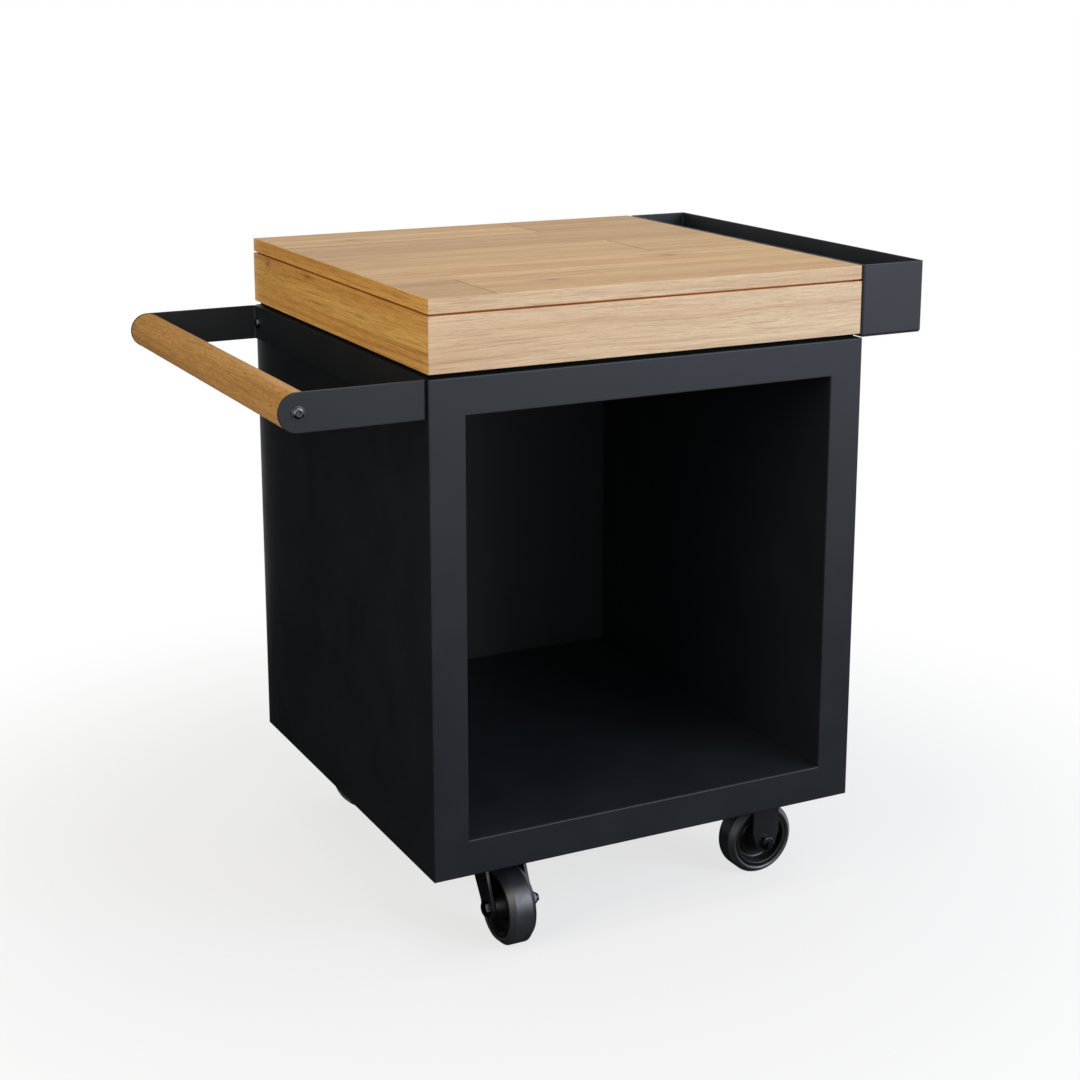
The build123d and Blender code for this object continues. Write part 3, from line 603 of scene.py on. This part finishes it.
# %% Plain black finishes
def black_finish(name, dark, light, roughness, metallic=0.0, specular=0.5, bump=0.1):
    """A dark finish with cloudy colour and roughness, and a grain that is coarser than the real one."""
    cloud_mm = 12
    grain_mm = 1.5
    grain_depth = 0.1 * mm
    edge_radius = 0.5 * mm
    smooth, rough = roughness - 0.05, roughness + 0.05
    material, tree, output = new_finish(name)
    place = add(tree, "ShaderNodeTexCoord").outputs["Object"]
    cloud = add(
        tree,
        "ShaderNodeTexNoise",
        {"Scale": per_metre(cloud_mm), "Detail": 4, "Roughness": 0.6},
        {"Vector": place},
    ).outputs["Fac"]
    grain = add(
        tree, "ShaderNodeTexNoise", {"Scale": per_metre(grain_mm), "Detail": 2}, {"Vector": place}
    ).outputs["Fac"]
    colour = add(
        tree,
        "ShaderNodeMix",
        {6: linear(dark), 7: linear(light)},
        {0: cloud},
        data_type="RGBA",
    ).outputs[2]
    shine = add(
        tree,
        "ShaderNodeMapRange",
        {"From Min": 0.3, "From Max": 0.7, "To Min": smooth, "To Max": rough},
        {"Value": cloud},
    ).outputs["Result"]
    edges = add(tree, "ShaderNodeBevel", {"Radius": edge_radius}, samples=4).outputs["Normal"]
    relief = add(
        tree,
        "ShaderNodeBump",
        {"Strength": bump, "Distance": grain_depth},
        {"Height": grain, "Normal": edges},
    ).outputs["Normal"]
    shader = add(
        tree,
        "ShaderNodeBsdfPrincipled",
        {"Metallic": metallic, "Specular IOR Level": specular},
        {"Base Color": colour, "Roughness": shine, "Normal": relief},
    )
    tree.links.new(shader.outputs["BSDF"], output.inputs["Surface"])
    return material


tyre_rubber = black_finish("tyre_rubber", "#25282c", "#2f3236", 0.4, specular=0.85, bump=0.2)
# Painted shade: the spacer pads are black rubber, drawn darker and duller than rubber is, so that they read
# as the deep shadow in the gap between the worktop and the cabinet.
pad_rubber = black_finish("pad_rubber", "#020202", "#050505", 0.9, specular=0.1)
rim_nylon = black_finish("moulded_nylon_black", "#0d0e10", "#141517", 0.4)
caster_paint = black_finish("dip_painted_steel_black", "#131417", "#1a1b1e", 0.42)
black_zinc = black_finish("black_zinc_fasteners", "#5e6063", "#6c6e71", 0.2, metallic=1.0)
black_oxide = black_finish("black_oxide_axle_bolts", "#3c3e41", "#4a4c4f", 0.36, metallic=1.0)
bearing_zinc = black_finish("zinc_plated_steel", "#8e9195", "#a9acaf", 0.34, metallic=1.0)
print("finishes for tyres, pads, rims, forks, bolts and bearings")

# %% [markdown]
# ## Dressing the casters and bolts
# Each caster is an assembly: tyre on rim, rim on a sleeve, an axle bolt through a fork. The same piece
# at every corner gets the same finish, so the names are built from the corner and the piece.

# %% Casters and bolts
swivel_corners = ["front_left", "rear_left"]
fixed_corners = ["front_right", "rear_right"]
for corner in swivel_corners + fixed_corners:
    wear(tyre_rubber, f"{corner}_tyre")
    wear(rim_nylon, f"{corner}_rim")
    wear(caster_paint, f"{corner}_fork")
    wear(black_oxide, f"{corner}_axle_bolt", f"{corner}_axle_nut")
    wear(bearing_zinc, f"{corner}_axle_sleeve")
for corner in swivel_corners:
    wear(caster_paint, f"{corner}_caster_plate")
    wear(bearing_zinc, f"{corner}_kingpin", f"{corner}_swivel_bearing")
wear(black_zinc, "bar_bolts", "bracket_bolts", "caster_bolts", "planter_bolts", "worktop_screws")
# The spacer frame fills the gap under the worktop, and its near-black finish is painted shade.
wear(pad_rubber, "spacer_pads")
print("casters, bolts and spacer frame are dressed")

# %% [markdown]
# ## Studio: floor and surround
# The product stands on a white sweep that runs out into plain white. A very bright lamp could burn the
# floor out to white, but it would burn the object too. Instead the floor shines by itself only for rays
# that show the background, from the camera, in a reflection or through something clear, and more so
# away from the object. Near the object it stays a pale floor that keeps the shadow. The surround is
# white to the same rays and a weaker, even light to all others.


# %% Floor and surround
def background_rays(tree):
    """1 for rays that show the background: from the camera, from a reflection or through something clear."""
    ray = add(tree, "ShaderNodeLightPath").outputs
    shown = add(
        tree, "ShaderNodeMath", links={0: ray["Is Camera Ray"], 1: ray["Is Glossy Ray"]}, operation="MAXIMUM"
    ).outputs["Value"]
    return add(
        tree, "ShaderNodeMath", links={0: shown, 1: ray["Is Transmission Ray"]}, operation="MAXIMUM"
    ).outputs["Value"]


floor_size = 60
near_white, far_white = 0.72, 1.0  # share of plain white beside the object and away from it
near_distance, far_distance = 0.5, 1.25
surround_light = 0.42

floor = mesh_object(
    "studio_floor",
    np.array([(x * floor_size, y * floor_size, 0) for x, y in ((-1, -1), (1, -1), (1, 1), (-1, 1))]),
    [(0, 1, 2, 3)],
)
floor_paint, tree, output = new_finish("white_studio_floor")
from_middle = add(tree, "ShaderNodeTexCoord").outputs["Object"]
distance = add(tree, "ShaderNodeVectorMath", links={0: from_middle}, operation="LENGTH").outputs["Value"]
fade = add(
    tree,
    "ShaderNodeMapRange",
    {"From Min": near_distance, "From Max": far_distance, "To Min": near_white, "To Max": far_white},
    {"Value": distance},
    interpolation_type="SMOOTHSTEP",
).outputs["Result"]
lift = add(
    tree, "ShaderNodeMath", links={0: fade, 1: background_rays(tree)}, operation="MULTIPLY"
).outputs["Value"]
near = add(tree, "ShaderNodeBsdfDiffuse", {"Color": linear("#e8e8e8")}).outputs["BSDF"]
far = add(tree, "ShaderNodeEmission", {"Strength": 1.0}).outputs["Emission"]
paint = add(tree, "ShaderNodeMixShader", links={0: lift, 1: near, 2: far})
tree.links.new(paint.outputs["Shader"], output.inputs["Surface"])
floor.data.materials.append(floor_paint)

world = bpy.data.worlds.new("studio_surround")
bpy.context.scene.world = world
world.use_nodes = True
tree = world.node_tree
tree.nodes.clear()
white = linear("#ffffff")
soft = add(tree, "ShaderNodeBackground", {"Color": white, "Strength": surround_light}).outputs["Background"]
plain = add(tree, "ShaderNodeBackground", {"Color": white, "Strength": 1.0}).outputs["Background"]
both = add(tree, "ShaderNodeMixShader", links={0: background_rays(tree), 1: soft, 2: plain}).outputs["Shader"]
add(tree, "ShaderNodeOutputWorld", links={"Surface": both})
print("floor of", floor_size * 2, "m, surround at", surround_light)

# %% [markdown]
# ## Studio: lights
# The photograph has one large soft light in front and to the right, a weaker one overhead, and little
# light from the handle's side. Small lamps would draw hard highlights on the coat, so all three are
# square soft boxes, turned to face the point they are aimed at.


# %% Lights
def soft_light(name, place, aim, size, power, colour):
    """A square soft light at a place, facing the point it is aimed at."""
    lamp = bpy.data.lights.new(name, "AREA")
    lamp.shape = "SQUARE"
    lamp.size = size
    lamp.energy = power
    lamp.color = linear(colour)[:3]
    made = bpy.data.objects.new(name, lamp)
    made.location = place
    direction = np.array(aim) - np.array(place)
    made.rotation_euler = (
        math.atan2(math.hypot(direction[0], direction[1]), -direction[2]),
        0,
        math.atan2(direction[1], direction[0]) - math.pi / 2,
    )
    bpy.context.scene.collection.objects.link(made)
    return made


lights = [
    soft_light("front_light", (1.8, -2.9, 1.7), (0, 0, 0.6), 1.7, 69, "#dbe7ff"),
    soft_light("top_light", (0.2, -0.4, 2.8), (0, 0, 0.8), 1.6, 17, "#ffffff"),
    soft_light("side_light", (-2.4, -1.2, 1.5), (-0.2, 0, 0.6), 1.2, 22, "#ffecd4"),
]
print("lights:", {light.name: round(light.data.energy) for light in lights}, "W")

# %% [markdown]
# ## Studio: black flags
# All that white would show in the dark steel as grey haze. A photographer sets black cards, called
# flags, beside and under a dark product, just out of the picture. These cards do the same: they show
# only in reflections, so they neither shade the object nor hide the floor. Two stand on the handle's
# side, and two lie on the floor in front and under the cabinet.


# %% Black flags
def black_flag(name, corners):
    """A black card that only shows in reflections."""
    made = mesh_object(name, np.array(corners), [(0, 1, 2, 3)], flag_black)
    made.visible_camera = False
    made.visible_diffuse = False
    made.visible_shadow = False
    made.visible_transmission = False


flag_black, tree, output = new_finish("black_flag_felt")
felt = add(tree, "ShaderNodeBsdfDiffuse", {"Color": linear("#000000")})
tree.links.new(felt.outputs["BSDF"], output.inputs["Surface"])

flag_foot, flag_top = 2 * mm, 2.4
cabinet_corner, far_corner, near_corner = (-0.262, 0.303), (-2.6, 1.0), (-2.6, -0.7)
standing = {"side_flag": (cabinet_corner, far_corner), "left_flag": (far_corner, near_corner)}
for name, ((x0, y0), (x1, y1)) in standing.items():
    black_flag(name, [(x0, y0, flag_foot), (x1, y1, flag_foot), (x1, y1, flag_top), (x0, y0, flag_top)])

lying_height = 3 * mm
front_line = -0.32
lying = {"floor_flag": ((-1.8, -3.6), (2.6, front_line)), "under_flag": ((-1.8, front_line), (0.35, 1.2))}
for name, ((x0, y0), (x1, y1)) in lying.items():
    black_flag(name, [(x, y, lying_height) for x, y in ((x0, y0), (x1, y0), (x1, y1), (x0, y1))])
print(len(standing), "standing and", len(lying), "lying flags")
